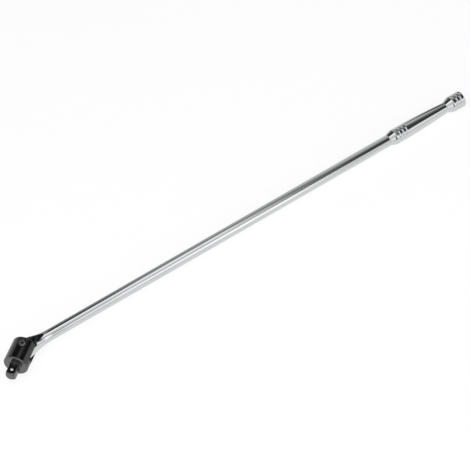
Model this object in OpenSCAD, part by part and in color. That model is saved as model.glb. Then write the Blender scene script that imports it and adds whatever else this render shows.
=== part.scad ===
// Flex-head breaker bar with a square drive. Millimetres.
// Origin: centre of the head's end face, where a socket seats.
// +X runs along the handle towards the grip, +Z along the pivot pin.

/* [Overall] */
// Length from drive tip to grip end with the head straight
overall_l = 762; // [640:1:900]
// Angle the head is swung from straight
bend = 35; // [0:5:90]

/* [Head] */
// Diameter of the turned head
head_d = 33.6; // [33:0.1:36]
// Pivot axis to the end face that the socket meets
face_dist = 27.2; // [27:0.1:30]
// Pivot axis to the open end of the fork
fork_end = 10.1; // [9:0.1:12]
// Width of the fork's slot
slot_w = 12.6; // [12:0.1:13]
// Edge radius round the fork's open end
fork_round = 2.7; // [1:0.1:3.5]
// Chamfer round the end face
face_chamfer = 1.4; // [0.5:0.1:2]

/* [Square drive] */
// Width of the square across its flats
square_w = 12.7; // [12.7:0.1:12.9]
// Length of the square from the end face
square_l = 18.8; // [16:0.1:20]
// Diameter across the square's rounded corners
square_corner_d = 16.6; // [16:0.1:17.4]
// Length of the chamfer at the tip
tip_chamfer = 2.4; // [1:0.1:3]
// Detent ball centre from the end face
detent_dist = 10.9; // [9:0.1:11.5]

/* [Handle] */
// Diameter of the plain shank
shank_d = 16; // [14:0.1:17]
// Diameter of the ball-shaped eye
eye_d = 30.4; // [29:0.1:30.6]
// Thickness of the tongue across its flats
tongue_t = 12.3; // [11:0.1:12.4]
// Thickness of the flattened neck behind the tongue
neck_t = 16.8; // [16.2:0.1:20]
// Pivot axis to the end of the eye's flare
flare_end = 44; // [36:1:60]

/* [Grip] */
// Length of the shaped grip
grip_l = 124; // [116:1:150]
// Diameter of the grip's front swell
front_d = 21.8; // [20:0.1:24]
// Diameter of the grip's rear swell
rear_d = 22.8; // [21:0.1:25]
// Diameter of the grip's neck, ahead of the rear swell
neck_d = 15.1; // [14:0.1:17]

/* [Pivot] */
// Diameter of the pivot pin
pin_d = 9.5; // [8:0.1:10]

/* [Hidden] */
$fn = 96;
eps = 0.01;
run_fit = 0.05;

tip_dist = face_dist + square_l;
handle_l = overall_l - tip_dist;
shank_r = shank_d / 2;
eye_r = eye_d / 2;
head_r = head_d / 2;

// concave flare that runs from the eye into the shank, tangent to both
flare_r = (flare_end * flare_end / (eye_r - shank_r) - eye_r - shank_r) / 2;
flare_touch_x = eye_r * flare_end / (eye_r + flare_r);
flare_touch_r = eye_r * (shank_r + flare_r) / (eye_r + flare_r);

// the tongue's flats are milled out to this distance from the pivot axis, clear of the fork's swing
shoulder_r = 19;

// grip, measured back from its rear end
rib_pitch = 5.7;
groove_r = 1.3;
groove_lift = 0.3;
rear_grooves = [6.9, 12.7];
rear_cone = [18.8, 28.5];
front_grooves = [103.5 - rib_pitch, 103.5, 103.5 + rib_pitch];
front_cone_l = 9.2;
end_round = 2.4;
// the barrel between the swells is one long convex arc
barrel_r = 1158;
barrel_top_at = 118.5;
barrel_top_r = neck_d / 2 + barrel_r - sqrt(pow(barrel_r, 2) - pow(barrel_top_at - rear_cone[1], 2));

// slot floor stands just clear of the eye
floor_dist = eye_r + 1;

// pin, flush with the low edge of its countersink
countersink_r = 6.45;
countersink_z = 15.2;
countersink_h = 1.7;
pin_end_z = 16;
pin_chamfer = 0.5;
dimple_r = 1.9;
dimple_floor_r = 0.5;
dimple_h = 1.3;

// detent ball in the square and friction ball in the slot floor
ball_d = 5;
ball_r = ball_d / 2;
ball_out = 1.1;
detent_z = square_w / 2 + ball_out - ball_r;
pocket_r = ball_r + 0.06;
pocket_floor_z = -3;
lip_r = 2.3;
lip_h = 0.3;
friction_gap = 0.05;
friction_dist = eye_r + friction_gap + ball_r;
friction_wall = 2.6;
friction_floor = face_dist - friction_wall;

// springs
wire_r = 0.35;
coil_r = 1.75;
spring_gap = 0.05;
// distance from a ball's centre to the flat end of the spring that bears on it
seat_h = sqrt(ball_r * ball_r - (coil_r - wire_r) * (coil_r - wire_r)) + spring_gap;

// the tip's chamfer goes in by this much for each mm of its length
tip_slope = 1.25;

// boss that the square rises from
boss_d = 17.4;
boss_h = 0.9;

// the handle's frame: pivot axis at the local origin, grip towards +X
module at_pivot() {
    translate([face_dist * cos(bend), face_dist * sin(bend), 0]) children();
}

// the head's frame: pivot axis at the local origin, drive towards -X
module at_head() {
    at_pivot() rotate([0, 0, bend]) children();
}

// turns a profile of (radius, distance) about the handle's axis
module turn_handle() {
    rotate([0, 90, 0]) rotate_extrude() children();
}

// turns a profile of (radius, distance from the pivot) about the drive's axis
module turn_head() {
    rotate([0, -90, 0]) rotate_extrude() children();
}

module flare_profile() {
    difference() {
        translate([0, flare_touch_x]) square([flare_touch_r, flare_end - flare_touch_x]);
        translate([shank_r + flare_r, flare_end]) circle(flare_r, $fn = 360);
    }
}

module grip_profile() {
    front = handle_l - grip_l;
    rear_start = handle_l - rear_cone[1];
    // front cone, front swell and the long barrel down to the neck
    intersection() {
        polygon([[0, front], [shank_r, front], [front_d / 2, front + front_cone_l],
                 [front_d / 2, rear_start], [0, rear_start]]);
        translate([barrel_top_r - barrel_r, handle_l - barrel_top_at]) circle(barrel_r, $fn = 1440);
    }
    // rear cone and rear swell, rounded off at the end
    polygon([[0, rear_start - eps], [neck_d / 2, rear_start - eps],
             [rear_d / 2, handle_l - rear_cone[0]], [rear_d / 2, handle_l - end_round],
             [0, handle_l - end_round]]);
    translate([0, handle_l - end_round - eps]) square([rear_d / 2 - end_round, end_round + eps]);
    translate([rear_d / 2 - end_round, handle_l - end_round]) circle(end_round);
}

module handle_profile() {
    difference() {
        union() {
            intersection() {
                circle(eye_r);
                translate([0, -eye_r]) square([eye_r, eye_r + flare_touch_x + eps]);
            }
            flare_profile();
            translate([0, flare_end - eps]) square([shank_r, handle_l - grip_l - flare_end + 2 * eps]);
            intersection() {
                grip_profile();
                translate([0, handle_l - grip_l]) square([rear_d, grip_l]);
            }
        }
        for (g = front_grooves)
            translate([front_d / 2 + groove_lift, handle_l - g]) circle(groove_r, $fn = 48);
        for (g = rear_grooves)
            translate([rear_d / 2 + groove_lift, handle_l - g]) circle(groove_r, $fn = 48);
    }
}

// what the mill takes off one side of the tongue
module flat_cut() {
    translate([0, 0, tongue_t / 2]) cylinder(r = shoulder_r, h = eye_r);
    translate([-eye_r - 1, -eye_r - 1, neck_t / 2]) cube([eye_r + flare_end + 2, 2 * eye_r + 2, eye_r]);
}

module handle_bar() {
    color("silver") at_pivot() difference() {
        turn_handle() handle_profile();
        flat_cut();
        mirror([0, 0, 1]) flat_cut();
        cylinder(r = pin_d / 2 + run_fit, h = 2 * eye_r, center = true);
    }
}

module head_profile() {
    r = head_r;
    f = fork_round;
    c = face_chamfer;
    polygon([[0, -fork_end + f], [r, -fork_end + f], [r, face_dist - c], [r - c, face_dist],
             [0, face_dist]]);
    translate([0, -fork_end]) square([r - f, f + eps]);
    translate([r - f, -fork_end + f]) circle(f);
    translate([0, face_dist - eps]) square([boss_d / 2, boss_h + eps]);
}

module square_drive() {
    w = square_w;
    intersection() {
        translate([-tip_dist, -w / 2, -w / 2]) cube([square_l + 1, w, w]);
        turn_head() polygon([[0, face_dist - 1], [square_corner_d / 2, face_dist - 1],
                             [square_corner_d / 2, tip_dist - tip_chamfer],
                             [square_corner_d / 2 - tip_chamfer * tip_slope, tip_dist], [0, tip_dist]]);
    }
}

module drive_head() {
    color("dimgray") at_head() difference() {
        union() {
            turn_head() head_profile();
            square_drive();
        }
        // fork slot
        translate([-floor_dist, -head_r - 1, -slot_w / 2])
            cube([floor_dist + fork_end + 1, head_d + 2, slot_w]);
        // pin hole, countersunk at both ends
        cylinder(r = pin_d / 2, h = head_d + 2, center = true);
        for (m = [0, 1]) mirror([0, 0, m]) translate([0, 0, countersink_z])
            cylinder(r1 = pin_d / 2, r2 = countersink_r, h = countersink_h);
        // friction ball hole in the slot floor
        translate([-friction_floor, 0, 0]) rotate([0, 90, 0])
            cylinder(r = pocket_r, h = friction_floor - floor_dist + 1);
        // detent pocket with its rolled-in lip
        translate([-face_dist - detent_dist, 0, pocket_floor_z])
            cylinder(r = pocket_r, h = square_w / 2 - lip_h - pocket_floor_z);
        translate([-face_dist - detent_dist, 0, 0]) cylinder(r = lip_r, h = square_w);
    }
}

module pivot_pin() {
    r = pin_d / 2;
    color("gray") at_head() difference() {
        rotate_extrude() polygon([[0, -pin_end_z], [r - pin_chamfer, -pin_end_z],
                                  [r, -pin_end_z + pin_chamfer], [r, pin_end_z - pin_chamfer],
                                  [r - pin_chamfer, pin_end_z], [0, pin_end_z]]);
        for (m = [0, 1]) mirror([0, 0, m]) {
            translate([0, 0, pin_end_z - dimple_h])
                cylinder(r1 = dimple_floor_r, r2 = dimple_r, h = dimple_h);
            translate([0, 0, pin_end_z - eps]) cylinder(r = dimple_r, h = 1);
        }
    }
}

module detent_ball() {
    color("lightgray") at_head() translate([-face_dist - detent_dist, 0, detent_z]) sphere(ball_r);
}

module friction_ball() {
    color("lightgray") at_head() translate([-friction_dist, 0, 0]) sphere(ball_r);
}

// a coil from z = 0 to z = h with flat-ground ends: every level cuts the round wire in a
// banana-shaped section, and turning that section up the height sweeps the wire
module coil(h, turns) {
    span = wire_r / (h / turns) * 360;
    steps = 5;
    function section(i, side) = let (a = span * i / steps, t = sqrt(max(0, 1 - pow(i / steps, 2))))
        (coil_r + side * wire_r * t) * [cos(a), sin(a)];
    linear_extrude(h, twist = -360 * turns, slices = 14 * turns, $fn = 12)
        polygon([for (i = [-steps:steps]) section(i, 1), for (i = [steps - 1:-1:1 - steps]) section(i, -1)]);
}

module detent_spring() {
    color("slategray") at_head() translate([-face_dist - detent_dist, 0, pocket_floor_z + spring_gap])
        coil(detent_z - seat_h - pocket_floor_z - spring_gap, 4);
}

module friction_spring() {
    color("slategray") at_head() translate([-friction_floor + spring_gap, 0, 0]) rotate([0, 90, 0])
        coil(friction_floor - friction_dist - seat_h - spring_gap, 3);
}

handle_bar();
drive_head();
pivot_pin();
detent_ball();
detent_spring();
friction_ball();
friction_spring();
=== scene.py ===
from math import atan2, cos, hypot, pi, radians, sin, sqrt

import bmesh
import bpy
from mathutils import Matrix, Vector


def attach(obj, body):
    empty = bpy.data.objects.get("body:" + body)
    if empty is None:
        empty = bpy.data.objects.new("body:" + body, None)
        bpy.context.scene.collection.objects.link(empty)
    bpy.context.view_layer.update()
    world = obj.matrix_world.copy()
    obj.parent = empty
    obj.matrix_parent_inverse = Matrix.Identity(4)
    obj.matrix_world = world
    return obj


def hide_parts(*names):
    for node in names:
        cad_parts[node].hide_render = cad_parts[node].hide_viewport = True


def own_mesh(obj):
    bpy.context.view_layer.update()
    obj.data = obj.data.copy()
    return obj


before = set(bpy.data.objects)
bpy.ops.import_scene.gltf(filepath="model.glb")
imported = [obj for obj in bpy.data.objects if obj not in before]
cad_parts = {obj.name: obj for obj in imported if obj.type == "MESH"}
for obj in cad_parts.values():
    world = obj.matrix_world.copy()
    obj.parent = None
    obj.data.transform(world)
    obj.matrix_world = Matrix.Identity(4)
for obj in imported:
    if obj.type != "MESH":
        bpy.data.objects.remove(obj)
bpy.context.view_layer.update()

MM = 0.001
TAU = 2 * pi

# ---------------------------------------------------------------- sizes, in mm, as the CAD has them
BEND = 35                     # the head is swung this far from straight
FACE_DIST = 27.2              # pivot axis to the head's end face
FORK_END = 10.1
HEAD_R = 16.8
FORK_ROUND = 2.7
FACE_CHAMFER = 1.4
BOSS_R, BOSS_H = 8.7, 0.9
SLOT_HALF = 6.3
SLOT_FLOOR = 16.2
SQUARE_HALF = 6.35
SQUARE_CORNER_R = 8.3
TIP_DIST = 46
TIP_CHAMFER, TIP_INSET = 2.4, 3.0
DETENT_DIST = 10.9
LIP_R, LIP_H = 2.3, 0.3
POCKET_R, POCKET_FLOOR = 2.56, -3
FRICTION_FLOOR = 24.6
BALL_R = 2.5
DETENT_Z = 4.95
FRICTION_DIST = 17.75
PIN_R, PIN_END, DIMPLE_R = 4.75, 16, 1.9
COUNTERSINK_R, COUNTERSINK_Z, COUNTERSINK_H = 6.45, 15.2, 1.7
BORE_GAP = 0.05
EYE_R, TONGUE_HALF, NECK_HALF = 15.2, 6.15, 8.4
SHANK_R = 8
FLARE_END, SHOULDER_R = 44, 19
HANDLE_L, GRIP_L = 716, 124
FRONT_R, REAR_R, NECK_R = 10.9, 11.4, 7.55
FRONT_CONE_L = 9.2
REAR_CONE = (18.8, 28.5)      # from the handle's rear end, as the next two are
BARREL_TOP, BARREL_ARC_R = 118.5, 1158
GROOVES = ((97.8, FRONT_R), (103.5, FRONT_R), (109.2, FRONT_R), (6.9, REAR_R), (12.7, REAR_R))
GROOVE_R, GROOVE_LIFT = 1.3, 0.3
END_ROUND = 2.4
WIRE_R, COIL_R = 0.35, 1.75

# frames: the pivot's, with +X along the handle, and the head's, with the drive along -X
AT_PIVOT = Matrix.Translation(Vector((cos(radians(BEND)), sin(radians(BEND)), 0)) * FACE_DIST * MM)
AT_HEAD = AT_PIVOT @ Matrix.Rotation(radians(BEND), 4, "Z")
# turns a shape made along +Z so that it lies along the head's drive or the handle's grip
TO_DRIVE = Matrix.Rotation(radians(-90), 4, "Y")
TO_GRIP = Matrix.Rotation(radians(90), 4, "Y")


# ---------------------------------------------------------------- mesh helpers
def mesh_object(name, bm, place):
    """A new object from a bmesh made in mm; place is in metres."""
    bmesh.ops.transform(bm, matrix=place @ Matrix.Scale(MM, 4), verts=bm.verts)
    bmesh.ops.recalc_face_normals(bm, faces=bm.faces)
    mesh = bpy.data.meshes.new(name)
    bm.to_mesh(mesh)
    bm.free()
    for face in mesh.polygons:
        face.use_smooth = True
    obj = bpy.data.objects.new(name, mesh)
    bpy.context.scene.collection.objects.link(obj)
    return obj


def loft(rings):
    """Joins rings, each a list of as many points, into one closed skin. Points that meet are merged."""
    bm = bmesh.new()
    rows = [[bm.verts.new(p) for p in ring] for ring in rings]
    count = len(rings[0])
    for low, high in zip(rows, rows[1:]):
        for i in range(count):
            j = (i + 1) % count
            bm.faces.new((low[i], low[j], high[j], high[i]))
    bm.faces.new(rows[0][::-1])
    bm.faces.new(rows[-1])
    bmesh.ops.remove_doubles(bm, verts=bm.verts, dist=1e-4)
    bmesh.ops.dissolve_degenerate(bm, edges=bm.edges, dist=1e-5)
    return bm


def turn(profile, count=144):
    """Revolves (radius, height) points about +Z; the profile starts and ends on the axis."""
    bm = bmesh.new()
    rows = []
    for r, z in profile:
        if r < 1e-6:
            rows.append([bm.verts.new((0, 0, z))] * count)
        else:
            rows.append([bm.verts.new((r * cos(TAU * i / count), r * sin(TAU * i / count), z))
                         for i in range(count)])
    for low, high in zip(rows, rows[1:]):
        for i in range(count):
            j = (i + 1) % count
            corners = []
            for v in (low[i], low[j], high[j], high[i]):
                if v not in corners:
                    corners.append(v)
            if len(corners) > 2:
                bm.faces.new(corners)
    return bm


def arc(cx, cy, r, a0, a1, steps):
    """Points of an arc, angles in degrees."""
    angles = [radians(a0 + (a1 - a0) * i / steps) for i in range(steps + 1)]
    return [(cx + r * cos(a), cy + r * sin(a)) for a in angles]


def cut_circle(radius, flat, flats, edge_r, n_arc, n_edge, n_flat):
    """A circle cut by flats at one distance from its centre, with rounded edges. The number of
    points never changes, so sections loft together. Where a flat vanishes, its points meet."""
    if flat < radius:
        half = sqrt(max(0, (radius - edge_r) ** 2 - (flat - edge_r) ** 2))
        touch = atan2(half, flat - edge_r)
    else:
        half, touch, flat, edge_r = 0, 0, radius, 0
    core = flat - edge_r
    local = [(core + edge_r * cos(a), -half + edge_r * sin(a))
             for a in (touch * (i / n_edge - 1) for i in range(n_edge))]
    local += [(flat, half * (2 * i / n_flat - 1)) for i in range(n_flat)]
    local += [(core + edge_r * cos(a), half + edge_r * sin(a))
              for a in (touch * i / n_edge for i in range(n_edge))]
    span = TAU / flats - 2 * touch
    local += [(radius * cos(a), radius * sin(a))
              for a in (touch + span * i / n_arc for i in range(n_arc))]
    points = []
    for k in range(flats):
        n = pi / 2 + TAU * k / flats
        points += [(out * cos(n) - side * sin(n), out * sin(n) + side * cos(n)) for out, side in local]
    return points


def carve(obj, *cutters, mode="DIFFERENCE"):
    """Cuts the cutters from obj, or joins them to it, and removes them."""
    for cutter in cutters:
        modifier = obj.modifiers.new("carve", "BOOLEAN")
        modifier.operation, modifier.solver, modifier.object = mode, "EXACT", cutter
    settle(obj)
    for cutter in cutters:
        bpy.data.objects.remove(cutter)
    return obj


def settle(obj):
    """Applies obj's modifiers."""
    evaluated = obj.evaluated_get(bpy.context.evaluated_depsgraph_get())
    mesh = bpy.data.meshes.new_from_object(evaluated)
    obj.modifiers.clear()
    old, obj.data = obj.data, mesh
    bpy.data.meshes.remove(old)
    mesh.name = obj.name


def box_cutter(low, high, place, splits=()):
    """A box between two corners, its faces split at some x."""
    bm = bmesh.new()
    bmesh.ops.create_cube(bm, size=1)
    size = Vector(high) - Vector(low)
    middle = (Vector(high) + Vector(low)) / 2
    shape = Matrix.Translation(middle) @ Matrix.Diagonal((*size, 1))
    bmesh.ops.transform(bm, matrix=shape, verts=bm.verts)
    for x in splits:
        everything = [*bm.verts, *bm.edges, *bm.faces]
        bmesh.ops.bisect_plane(bm, geom=everything, plane_co=(x, 0, 0), plane_no=(1, 0, 0))
    return mesh_object("cutter", bm, place)


def turned_cutter(profile, place, count=64):
    """What a drill or a turning tool takes off round the Z axis of its place."""
    return mesh_object("cutter", turn(profile, count), place)


def rounded_edges(obj, width, angle_deg):
    """Bevels every edge of obj sharper than the angle, by a width in mm, and keeps its flat faces flat
    in shading."""
    bevel = obj.modifiers.new("bevel", "BEVEL")
    bevel.width, bevel.segments = width * MM, 2
    bevel.limit_method, bevel.angle_limit = "ANGLE", radians(angle_deg)
    bevel.use_clamp_overlap = False
    bevel.miter_outer = "MITER_ARC"
    settle(obj)
    for face in obj.data.polygons:
        face.use_smooth = True
    normals = obj.modifiers.new("normals", "WEIGHTED_NORMAL")
    normals.keep_sharp = True
    obj.data.set_sharp_from_angle(angle=radians(60))


# ---------------------------------------------------------------- the handle's turned profile
def handle_radius(x):
    """Radius of the turned handle at x mm from the pivot."""
    front = HANDLE_L - GRIP_L
    rear_start = HANDLE_L - REAR_CONE[1]
    back = HANDLE_L - x
    if x < FLARE_END:
        flare_r = (FLARE_END ** 2 / (EYE_R - SHANK_R) - EYE_R - SHANK_R) / 2
        if x < EYE_R * FLARE_END / (EYE_R + flare_r):
            return sqrt(EYE_R ** 2 - x * x)
        return SHANK_R + flare_r - sqrt(flare_r ** 2 - (FLARE_END - x) ** 2)
    if x < front:
        return SHANK_R
    if x < rear_start:
        cone = SHANK_R + (FRONT_R - SHANK_R) * (x - front) / FRONT_CONE_L
        fall = sqrt(BARREL_ARC_R ** 2 - (BARREL_TOP - REAR_CONE[1]) ** 2)
        barrel = NECK_R - fall + sqrt(BARREL_ARC_R ** 2 - (BARREL_TOP - back) ** 2)
        radius = min(cone, FRONT_R, barrel)
    else:
        cone = NECK_R + (REAR_R - NECK_R) * (REAR_CONE[1] - back) / (REAR_CONE[1] - REAR_CONE[0])
        radius = min(cone, REAR_R)
    for at, swell in GROOVES:
        if abs(back - at) < GROOVE_R:
            radius = min(radius, swell + GROOVE_LIFT - sqrt(GROOVE_R ** 2 - (back - at) ** 2))
    return radius


def softened(x, reach):
    """The profile averaged over a short reach, as polishing rounds its corners."""
    weights = (1, 2, 3, 2, 1)
    total = sum(w * handle_radius(x + reach * (i - 2) / 2) for i, w in enumerate(weights))
    return total / sum(weights)


def handle_stations():
    """(x, radius) along the handle, close together where the profile turns."""
    ball_steps = 26
    stations = [(-EYE_R * cos(a), EYE_R * sin(a))
                for a in (pi / 2 * i / ball_steps for i in range(1, ball_steps + 1))]
    # (from x, to x, step): neck, shank, front cone, front grooves, barrel, rear cone, rear grooves
    spans = ((0, 46, 0.5), (46, 590, 9), (590, 604, 0.3), (604, 620, 0.15), (620, 684, 1.2), (684, 700, 0.3),
             (700, 713.6, 0.15))
    cone_tops = (HANDLE_L - GRIP_L + FRONT_CONE_L, HANDLE_L - REAR_CONE[0])
    softening, top_softening = 0.3, 2.4
    plain_until = 560             # the profile has no corners to soften before this
    for low, high, step in spans:
        count = round((high - low) / step)
        for i in range(1, count + 1):
            x = low + (high - low) * i / count
            off = min(abs(x - top) for top in cone_tops)
            reach = top_softening if off < top_softening + 0.2 else softening
            stations.append((x, softened(x, reach) if x > plain_until else handle_radius(x)))
    end_steps = 8
    for i in range(1, end_steps + 1):
        a = pi / 2 * i / end_steps
        stations.append((HANDLE_L - END_ROUND + END_ROUND * sin(a),
                         REAR_R - END_ROUND + END_ROUND * cos(a)))
    return stations


def on_neck_flat(point):
    """Whether a point of the handle, in metres, lies in the plane of one of the neck's flats."""
    return abs(abs(point.z) / MM - NECK_HALF) < 0.01


def make_handle():
    """The turned bar, with its tongue and neck milled flat and the pin's bore."""
    around = 128
    rings = [[(x, r * cos(TAU * i / around), r * sin(TAU * i / around)) for i in range(around)]
             for x, r in handle_stations()]
    handle = mesh_object("handle", loft(rings), AT_PIVOT)
    mills = [turned_cutter([(0, side * TONGUE_HALF), (SHOULDER_R, side * TONGUE_HALF),
                            (SHOULDER_R, side * EYE_R), (0, side * EYE_R)], AT_PIVOT, 192)
             for side in (-1, 1)]
    bore_r = PIN_R + BORE_GAP
    bore = turned_cutter([(0, -EYE_R), (bore_r, -EYE_R), (bore_r, EYE_R), (0, EYE_R)], AT_PIVOT, 96)
    reach = EYE_R + 1
    slabs = [box_cutter((-reach, -reach, low), (FLARE_END + 1, reach, low + EYE_R), AT_PIVOT)
             for low in (NECK_HALF, -NECK_HALF - EYE_R)]
    carve(handle, *mills, *slabs, bore)
    rounded_edges(handle, width=0.15, angle_deg=50)
    for edge in handle.data.edges:          # the neck's flats meet the flare in a crisp line
        start, end = (handle.data.vertices[i].co for i in edge.vertices)
        if on_neck_flat((start + end) / 2):
            edge.use_edge_sharp = True
    return handle


# ---------------------------------------------------------------- the head and what it carries
def make_square():
    """The square drive, its corners turned and its tip chamfered; its foot is sunk into the head."""
    chamfer_steps = 14
    sunk, lower = 2, 6
    sections = [(FACE_DIST - sunk, SQUARE_CORNER_R), (FACE_DIST + lower, SQUARE_CORNER_R),
                (TIP_DIST - TIP_CHAMFER, SQUARE_CORNER_R)]
    sections += [(TIP_DIST - TIP_CHAMFER + TIP_CHAMFER * i / chamfer_steps,
                  SQUARE_CORNER_R - TIP_INSET * i / chamfer_steps) for i in range(1, chamfer_steps + 1)]
    rings = [[(x, y, s) for x, y in cut_circle(r, SQUARE_HALF, flats=4, edge_r=0.35, n_arc=6, n_edge=3,
                                               n_flat=8)]
             for s, r in sections]
    return mesh_object("square", loft(rings), AT_HEAD @ TO_DRIVE)


def make_head():
    """The turned head with its square, slot, pin hole, detent pocket and friction hole."""
    profile = [(0, -FORK_END), (HEAD_R - FORK_ROUND, -FORK_END)]
    profile += arc(HEAD_R - FORK_ROUND, -FORK_END + FORK_ROUND, FORK_ROUND, -90, 0, 10)[1:]
    profile += [(HEAD_R, FACE_DIST - FACE_CHAMFER), (HEAD_R - FACE_CHAMFER, FACE_DIST),
                (BOSS_R, FACE_DIST), (BOSS_R, FACE_DIST + BOSS_H), (0, FACE_DIST + BOSS_H)]
    head = mesh_object("head", turn(profile, 160), AT_HEAD @ TO_DRIVE)
    carve(head, make_square(), mode="UNION")
    reach = HEAD_R + 2
    # the splits keep the bevel's faces short
    slot = box_cutter((-SLOT_FLOOR, -reach, -SLOT_HALF), (FORK_END + 2, reach, SLOT_HALF), AT_HEAD,
                      splits=(-15.4, -12, -6, 0, 5))
    far = COUNTERSINK_Z + COUNTERSINK_H
    pin_hole = turned_cutter([(0, -far), (COUNTERSINK_R, -far), (PIN_R, -COUNTERSINK_Z),
                              (PIN_R, COUNTERSINK_Z), (COUNTERSINK_R, far), (0, far)], AT_HEAD, 96)
    above = SQUARE_HALF + 2
    pocket = turned_cutter([(0, POCKET_FLOOR), (POCKET_R, POCKET_FLOOR), (POCKET_R, SQUARE_HALF - LIP_H),
                            (LIP_R, SQUARE_HALF - LIP_H), (LIP_R, above), (0, above)],
                           AT_HEAD @ Matrix.Translation((-(FACE_DIST + DETENT_DIST) * MM, 0, 0)))
    in_slot = SLOT_FLOOR - 1
    friction_hole = turned_cutter([(0, in_slot), (POCKET_R, in_slot), (POCKET_R, FRICTION_FLOOR),
                                   (0, FRICTION_FLOOR)], AT_HEAD @ TO_DRIVE)
    carve(head, slot, pin_hole, pocket, friction_hole)
    rounded_edges(head, width=0.28, angle_deg=32)
    # short triangles in place of the many-sided faces, which also keeps them clear of the tongue
    bm = bmesh.new()
    bm.from_mesh(head.data)
    many_sided = [face for face in bm.faces if len(face.verts) > 4]
    bmesh.ops.triangulate(bm, faces=many_sided, ngon_method="BEAUTY")
    bm.to_mesh(head.data)
    bm.free()
    return head


def make_pin():
    """The cross pin, both its ends chamfered and dimpled."""
    c = 0.5
    profile = [(0, -PIN_END + 1.3), (0.6, -PIN_END + 1.25), (DIMPLE_R, -PIN_END),
               (PIN_R - c, -PIN_END), (PIN_R, -PIN_END + c)]
    profile += [(r, -z) for r, z in profile[::-1]]
    pin = mesh_object("pin", turn(profile, 96), AT_HEAD)
    rounded_edges(pin, width=0.16, angle_deg=20)
    return pin


def make_ball(name, x, z):
    """A ball at x and z mm in the head's frame."""
    bm = bmesh.new()
    bmesh.ops.create_icosphere(bm, subdivisions=5, radius=BALL_R)
    return mesh_object(name, bm, AT_HEAD @ Matrix.Translation((x * MM, 0, z * MM)))


def make_spring(name, height, turns, place):
    """A wire wound round +Z, from 0 to height, its ends flattened as if ground."""
    per_turn, around = 40, 14
    ground = WIRE_R * 0.4
    rings = []
    steps = round(per_turn * turns)
    for i in range(steps + 1):
        a = TAU * turns * i / steps
        z = WIRE_R + (height - 2 * WIRE_R) * i / steps
        ring = []
        for k in range(around):
            b = TAU * k / around
            r = COIL_R + WIRE_R * cos(b)
            ring.append((r * cos(a), r * sin(a), min(max(z + WIRE_R * sin(b), ground), height - ground)))
        rings.append(ring)
    return mesh_object(name, loft(rings), place)


# ---------------------------------------------------------------- materials
class Nodes:
    """Builds a node tree: add(kind, {socket: number or other node's output}, attributes)."""

    def __init__(self, owner):
        owner.use_nodes = True
        self.tree = owner.node_tree
        self.tree.nodes.clear()

    def add(self, kind, sockets=None, **attributes):
        node = self.tree.nodes.new(kind)
        for key, value in attributes.items():
            setattr(node, key, value)
        for key, value in (sockets or {}).items():
            if isinstance(value, bpy.types.NodeSocket):
                self.tree.links.new(value, node.inputs[key])
            else:
                node.inputs[key].default_value = value
        return node

    def place(self, scale=(1, 1, 1), turn_z=0):
        """Object coordinates, scaled per metre and turned about Z."""
        coordinates = self.add("ShaderNodeTexCoord").outputs["Object"]
        return self.add("ShaderNodeMapping", {"Vector": coordinates, "Scale": scale,
                                              "Rotation": (0, 0, turn_z)}).outputs[0]

    def noise(self, where, scale, detail=3, roughness=0.5):
        return self.add("ShaderNodeTexNoise", {"Vector": where, "Scale": scale, "Detail": detail,
                                               "Roughness": roughness}).outputs[0]

    def spread(self, value, low, high, to_low, to_high):
        return self.add("ShaderNodeMapRange", {0: value, 1: low, 2: high, 3: to_low, 4: to_high},
                        interpolation_type="SMOOTHSTEP").outputs[0]

    def math(self, operation, a, b=0.0):
        return self.add("ShaderNodeMath", {0: a, 1: b}, operation=operation).outputs[0]

    def bump(self, height, strength, distance_mm, under=None):
        sockets = {"Height": height, "Strength": strength, "Distance": distance_mm * MM}
        if under is not None:
            sockets["Normal"] = under
        return self.add("ShaderNodeBump", sockets).outputs[0]

    def tint(self, value, low, high):
        mix = self.add("ShaderNodeMix", data_type="RGBA")
        self.tree.links.new(value, mix.inputs[0])
        mix.inputs[6].default_value, mix.inputs[7].default_value = (*low, 1), (*high, 1)
        return mix.outputs[2]

    def finish(self, sockets):
        principled = self.add("ShaderNodeBsdfPrincipled", sockets)
        output = self.add("ShaderNodeOutputMaterial")
        self.tree.links.new(principled.outputs[0], output.inputs[0])


def chrome():
    """Bright chrome plate: faint polishing lines round the bar, haze, handling marks."""
    material = bpy.data.materials.new("chrome_plate")
    n = Nodes(material)
    lines = n.noise(n.place((4200, 260, 260)), 1, 4, 0.6)
    orange_peel = n.noise(n.place(), 420, 2)
    haze = n.noise(n.place((22, 60, 60)), 1, 3, 0.6)
    specks = n.noise(n.place(), 2300, 2, 0.7)
    rough = n.spread(haze, 0.35, 0.75, 0.055, 0.12)
    rough = n.math("ADD", rough, n.spread(specks, 0.68, 0.8, 0, 0.16))
    normal = n.bump(lines, 0.10, 0.006)
    normal = n.bump(orange_peel, 0.10, 0.02, normal)
    colour = n.tint(n.spread(haze, 0.3, 0.8, 0, 1), (0.622, 0.630, 0.636), (0.586, 0.592, 0.598))
    n.finish({"Base Color": colour, "Metallic": 1.0, "Roughness": rough, "Normal": normal})
    return material


def painted_dark_flat():
    """The tongue's milled flats: dull, mottled, with the mill's arcs; their near-black metal colour is
    painted in for the dark reflection they show.
    """
    material = bpy.data.materials.new("milled_flat_painted_reflection")
    n = Nodes(material)
    lines = n.noise(n.place((260, 5200, 260)), 1, 3, 0.6)
    flat_mottle = n.noise(n.place(), 260, 4, 0.6)
    # the near-black of this colour is a painted dark reflection; the mottling varies it at random
    colour = n.tint(n.spread(flat_mottle, 0.3, 0.75, 0, 1), (0.030, 0.036, 0.031), (0.085, 0.095, 0.085))
    rough = n.spread(flat_mottle, 0.3, 0.7, 0.26, 0.42)
    n.finish({"Base Color": colour, "Metallic": 1.0, "Roughness": rough,
              "Normal": n.bump(lines, 0.25, 0.02)})
    return material


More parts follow.
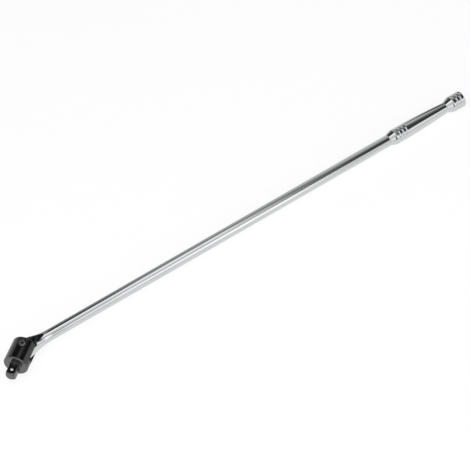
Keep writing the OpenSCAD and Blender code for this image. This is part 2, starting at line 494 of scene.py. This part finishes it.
def black_finish(name, low, high, rough_low, rough_high, shine, rings=False):
    """Black phosphate over steel: fine crystal grain, mottled sheen, thin wear on the edges."""
    material = bpy.data.materials.new(name)
    n = Nodes(material)
    grain = n.noise(n.place(), 5200, 3, 0.65)
    mottle = n.noise(n.place(), 330, 4, 0.6)
    if rings:
        lines = n.noise(n.place((700, 6200, 6200), turn_z=-radians(BEND)), 1, 2)
    else:
        lines = n.noise(n.place((5200, 420, 420), turn_z=-radians(BEND)), 1, 3, 0.6)
    worn = n.add("ShaderNodeNewGeometry").outputs["Pointiness"]
    worn = n.math("MULTIPLY", n.spread(worn, 0.53, 0.62, 0, 1), n.spread(mottle, 0.35, 0.6, 0.2, 1))
    colour = n.tint(n.spread(mottle, 0.3, 0.75, 0, 1), low, high)
    edge = n.add("ShaderNodeMix", data_type="RGBA")
    n.tree.links.new(worn, edge.inputs[0])
    n.tree.links.new(colour, edge.inputs[6])
    edge.inputs[7].default_value = (0.11, 0.11, 0.11, 1)
    rough = n.spread(mottle, 0.3, 0.75, rough_low, rough_high)
    normal = n.bump(grain, 0.30, 0.012)
    normal = n.bump(lines, 0.16, 0.012, normal)
    n.finish({"Base Color": edge.outputs[2], "Roughness": rough, "IOR": 1.6, "Specular IOR Level": shine,
              "Normal": normal})
    return material


def steel(name, low, high, rough_low, rough_high, stretch, scale):
    """Bare steel with fine marks along the way it was worked."""
    material = bpy.data.materials.new(name)
    n = Nodes(material)
    lines = n.noise(n.place(stretch, turn_z=-radians(BEND)), 1, 3, 0.6)
    cloud = n.noise(n.place(), scale, 3, 0.6)
    colour = n.tint(n.spread(cloud, 0.3, 0.75, 0, 1), low, high)
    rough = n.spread(cloud, 0.3, 0.7, rough_low, rough_high)
    n.finish({"Base Color": colour, "Metallic": 1.0, "Roughness": rough,
              "Normal": n.bump(lines, 0.12, 0.008)})
    return material


CHROME = chrome()
# the flats' near-black colour paints in the dark reflection they show
FLAT_PAINTED_DARK = painted_dark_flat()
BLACK = black_finish("black_phosphate", (0.0030, 0.0031, 0.0033), (0.0075, 0.0077, 0.0080),
                     0.13, 0.20, 0.45)
BLACK_FACE = black_finish("black_turned_face", (0.010, 0.010, 0.011), (0.024, 0.024, 0.025),
                          0.12, 0.20, 1.0, rings=True)
PIN_STEEL = steel("pin_steel", (0.34, 0.345, 0.35), (0.20, 0.205, 0.21),
                  0.30, 0.42, (900, 900, 5000), 900)
# near-black colour in the pin's end dimples: painted shade in the recess
PIN_DIMPLE_SHADE = steel("pin_dimple_painted_shade", (0.020, 0.020, 0.021), (0.045, 0.045, 0.046),
                   0.35, 0.5, (900, 900, 900), 900)
BALL_STEEL = steel("ball_steel", (0.88, 0.88, 0.89), (0.80, 0.80, 0.81),
                   0.06, 0.12, (1800, 1800, 1800), 700)
WIRE_STEEL = steel("wire_steel", (0.36, 0.37, 0.39), (0.22, 0.22, 0.23),
                   0.22, 0.34, (3000, 3000, 9000), 1500)


def paint(obj, *materials, pick=None):
    """Gives obj its materials. pick(face centre, face normal) says which, in the row's frame in metres."""
    for material in materials:
        obj.data.materials.append(material)
    if pick:
        for face in obj.data.polygons:
            face.material_index = pick(face.center, face.normal)


# ---------------------------------------------------------------- the pieces
# picks the neck's and tongue's flats, whose near-black colour is a painted dark reflection
def handle_dark_flats(centre, normal):
    on_tongue = abs(abs(centre.z) / MM - TONGUE_HALF) < 0.01
    return int(abs(normal.z) > 0.99 and (on_neck_flat(centre) or on_tongue))


def head_finish(centre, normal):
    where = AT_HEAD.inverted() @ centre
    out = -(AT_HEAD.inverted().to_3x3() @ normal).x
    depth = -where.x / MM
    return int(out > 0.4 and depth > FACE_DIST - FACE_CHAMFER - 0.2)


# picks the pin's end dimples, which get the painted shade
def pin_shaded_dimples(centre, normal):
    where = AT_HEAD.inverted() @ centre
    return int(hypot(where.x, where.y) / MM < DIMPLE_R)


handle = make_handle()
paint(handle, CHROME, FLAT_PAINTED_DARK, pick=handle_dark_flats)
head = make_head()
paint(head, BLACK, BLACK_FACE, pick=head_finish)
pin = make_pin()
paint(pin, PIN_STEEL, PIN_DIMPLE_SHADE, pick=pin_shaded_dimples)
detent_ball = make_ball("detent_ball_steel", -(FACE_DIST + DETENT_DIST), DETENT_Z)
friction_ball = make_ball("friction_ball_steel", -FRICTION_DIST, 0)
for ball in (detent_ball, friction_ball):
    paint(ball, BALL_STEEL)

SPRING_GAP = 0.05
seat = sqrt(BALL_R ** 2 - (COIL_R - WIRE_R) ** 2) + SPRING_GAP
detent_height = DETENT_Z - seat - POCKET_FLOOR - SPRING_GAP
detent_foot = POCKET_FLOOR + SPRING_GAP
detent_spring = make_spring("detent_spring_wire", detent_height, 4, AT_HEAD @ Matrix.Translation(
    (-(FACE_DIST + DETENT_DIST) * MM, 0, detent_foot * MM)))
friction_height = FRICTION_FLOOR - FRICTION_DIST - seat - SPRING_GAP
friction_foot = Matrix.Translation(((SPRING_GAP - FRICTION_FLOOR) * MM, 0, 0))
friction_spring = make_spring("friction_spring_wire", friction_height, 3, AT_HEAD @ friction_foot @ TO_GRIP)
for spring in (detent_spring, friction_spring):
    paint(spring, WIRE_STEEL)

for piece, node, body, slot in (
        (handle, "handle_bar", "handle", "chromed_bar"),
        (head, "drive_head", "head", "black_head"),
        (pin, "pivot_pin", "head", "pin_steel"),
        (detent_ball, "detent_ball", "detent", "ball_steel"),
        (friction_ball, "friction_ball", "head", "ball_steel"),
        (detent_spring, "detent_spring", "head", "spring_steel"),
        (friction_spring, "friction_spring", "head", "spring_steel")):
    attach(piece, body)
    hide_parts(node)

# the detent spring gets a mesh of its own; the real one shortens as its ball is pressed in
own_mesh(detent_spring)

# ---------------------------------------------------------------- floor and light
# the tool lies on the fork's open end and on the grip's rear swell
HEAD_REST = (0.0284, -0.0168)
GRIP_REST = (0.7359, -0.0114)
FLOOR_SLOPE = (GRIP_REST[1] - HEAD_REST[1]) / (GRIP_REST[0] - HEAD_REST[0])
FLOOR_GAP = 0.00005
FLOOR_HALF = 12


def floor_height(x):
    return HEAD_REST[1] + FLOOR_SLOPE * (x - HEAD_REST[0]) - FLOOR_GAP


def stage_plane(name, corners):
    """A flat four-cornered piece of the stage."""
    mesh = bpy.data.meshes.new(name)
    mesh.from_pydata(corners, [], [(0, 1, 2, 3)])
    obj = bpy.data.objects.new(name, mesh)
    bpy.context.scene.collection.objects.link(obj)
    return obj


floor = stage_plane("floor", [(x * FLOOR_HALF, y * FLOOR_HALF, floor_height(x * FLOOR_HALF))
                              for x, y in ((-1, -1), (1, -1), (1, 1), (-1, 1))])
floor_paper = bpy.data.materials.new("floor_paper")
n = Nodes(floor_paper)
n.finish({"Base Color": n.tint(n.noise(n.place(), 90, 3), (0.20, 0.20, 0.20), (0.24, 0.24, 0.24)),
          "Roughness": 0.75, "Specular IOR Level": 0.1, "Emission Color": (1, 1, 1, 1),
          "Emission Strength": 0.86})
floor.data.materials.append(floor_paper)

CEILING = 1.3


def light_card(name, corners, strength):
    """A flat card that gives light but isn't seen by the camera. strength(n, x, y, z) gives its
    brightness, as a number or a node's output."""
    card = stage_plane(name, corners)
    card.visible_camera = False
    material = bpy.data.materials.new(name)
    n = Nodes(material)
    place = n.add("ShaderNodeSeparateXYZ", {0: n.add("ShaderNodeTexCoord").outputs["Object"]}).outputs
    emission = n.add("ShaderNodeEmission", {"Strength": strength(n, *place)})
    n.tree.links.new(emission.outputs[0], n.add("ShaderNodeOutputMaterial").inputs[0])
    card.data.materials.append(material)


def over(n, where, *stops):
    """A smooth curve through (place, brightness) stops."""
    total = None
    for (x0, v0), (x1, v1) in zip(stops, stops[1:]):
        step = n.spread(where, x0, x1, 0, v1 - v0)
        total = n.math("ADD", step, stops[0][1]) if total is None else n.math("ADD", total, step)
    return total


def band(n, where, low, high, soft):
    """1 between low and high, which fades out over soft on both sides."""
    return n.math("MULTIPLY", n.spread(where, low - soft, low + soft, 0, 1),
                  n.spread(where, high - soft, high + soft, 1, 0))


# the ceiling's strips across the bar: (from y, to y, (x, brightness) stops)
CEILING_STRIPS = (
    (-9, -1.90, (0.25, 1.2), (0.35, 0.10), (0.75, 0.10), (0.88, 1.25), (1.16, 1.30), (1.40, 1.60),
     (1.52, 1.30), (1.60, 0.75), (1.72, 1.10)),
    (-1.90, -1.20, (0.25, 1.2), (0.35, 0.10), (0.70, 0.10), (0.82, 1.55), (1.22, 1.55), (1.33, 0.85),
     (1.39, 0.62), (1.44, 0.26), (1.54, 0.45), (1.66, 1.10)),
    (-1.20, -0.62, (0.97, 0.70), (1.10, 0.16), (1.20, 0.06), (2.60, 0.06), (3.20, 1.1)),
    (-0.62, -0.15, (0.83, 0.92), (0.92, 0.78), (0.99, 0.40), (1.03, 0.18), (1.12, 0.05)),
    (-0.15, 0.37, (0.80, 1.38), (0.88, 0.72), (0.96, 0.32), (1.02, 0.17), (1.20, 0.12)),
    (0.37, 1.00, (0.62, 0.04), (0.74, 0.45), (0.98, 0.25), (1.15, 0.50), (1.50, 0.50), (1.80, 0.10)),
    (1.00, 9, (0.60, 0.05), (0.90, 0.25), (1.08, 0.42), (1.36, 0.70), (1.60, 0.70), (1.90, 0.10)))


def ceiling_light(n, x, y, z):
    total = 0
    for low, high, *stops in CEILING_STRIPS:
        total = n.math("ADD", n.math("MULTIPLY", band(n, y, low, high, soft=0.07), over(n, x, *stops)), total)
    return total


def near_wall_light(n, x, y, z):
    along = over(n, x, (0.20, 1.2), (0.32, 0.10), (0.80, 0.10), (0.95, 1.20), (1.16, 1.25), (1.40, 1.70),
                 (1.50, 1.45), (1.60, 0.85), (1.72, 1.10))
    return n.math("MULTIPLY", along, over(n, z, (0.18, 0.35), (0.40, 1)))


def far_wall_light(n, x, y, z):
    return over(n, x, (0.3, 0.75), (0.7, 0.25), (1.05, 0.30), (1.41, 0.56), (1.55, 0.75), (1.7, 0.75),
                (2.0, 0.1))


def head_end_light(n, x, y, z):
    return 1.1


def grip_end_light(n, x, y, z):
    return over(n, y, (-1.1, 1.1), (-0.6, 0.06))


SIDE, BACK_END, FAR_END, FOOT = 2.5, -4, 5, -0.1
light_card("light_ceiling", [(BACK_END, -SIDE, CEILING), (FAR_END, -SIDE, CEILING),
                             (FAR_END, SIDE, CEILING), (BACK_END, SIDE, CEILING)], ceiling_light)
for name, y, strength in (("near_wall", -SIDE, near_wall_light), ("far_wall", SIDE, far_wall_light)):
    light_card(name, [(BACK_END, y, FOOT), (FAR_END, y, FOOT), (FAR_END, y, CEILING),
                      (BACK_END, y, CEILING)], strength)
for name, x, strength in (("head_end_wall", BACK_END, head_end_light),
                          ("grip_end_wall", FAR_END, grip_end_light)):
    light_card(name, [(x, -SIDE, FOOT), (x, SIDE, FOOT), (x, SIDE, CEILING), (x, -SIDE, CEILING)], strength)

world = bpy.data.worlds.new("studio")
bpy.context.scene.world = world
n = Nodes(world)
background = n.add("ShaderNodeBackground", {"Strength": 0.9})
n.tree.links.new(background.outputs[0], n.add("ShaderNodeOutputWorld").inputs[0])

# ---------------------------------------------------------------- camera
AZIMUTH, ELEVATION, ROLL = radians(-32.864), radians(50.306), radians(-3.464)
DISTANCE, LENS = 6.0, 353.8
RIGHT_SHIFT, UP_SHIFT = 0.27561, 0.14960      # from the pivot to the middle of the view
back = Vector((sin(AZIMUTH) * cos(ELEVATION), -cos(AZIMUTH) * cos(ELEVATION), sin(ELEVATION)))
level_right = Vector((cos(AZIMUTH), sin(AZIMUTH), 0))
level_up = back.cross(level_right)
right = level_right * cos(ROLL) + level_up * sin(ROLL)
up = level_up * cos(ROLL) - level_right * sin(ROLL)
camera = bpy.data.objects.new("camera", bpy.data.cameras.new("camera"))
camera.data.lens = LENS
camera.matrix_world = Matrix.Translation(AT_PIVOT.translation + right * RIGHT_SHIFT + up * UP_SHIFT
                                         + back * DISTANCE) @ Matrix((right, up, back)).transposed().to_4x4()
bpy.context.scene.collection.objects.link(camera)
bpy.context.scene.camera = camera
bpy.context.scene.view_settings.view_transform = "Standard"
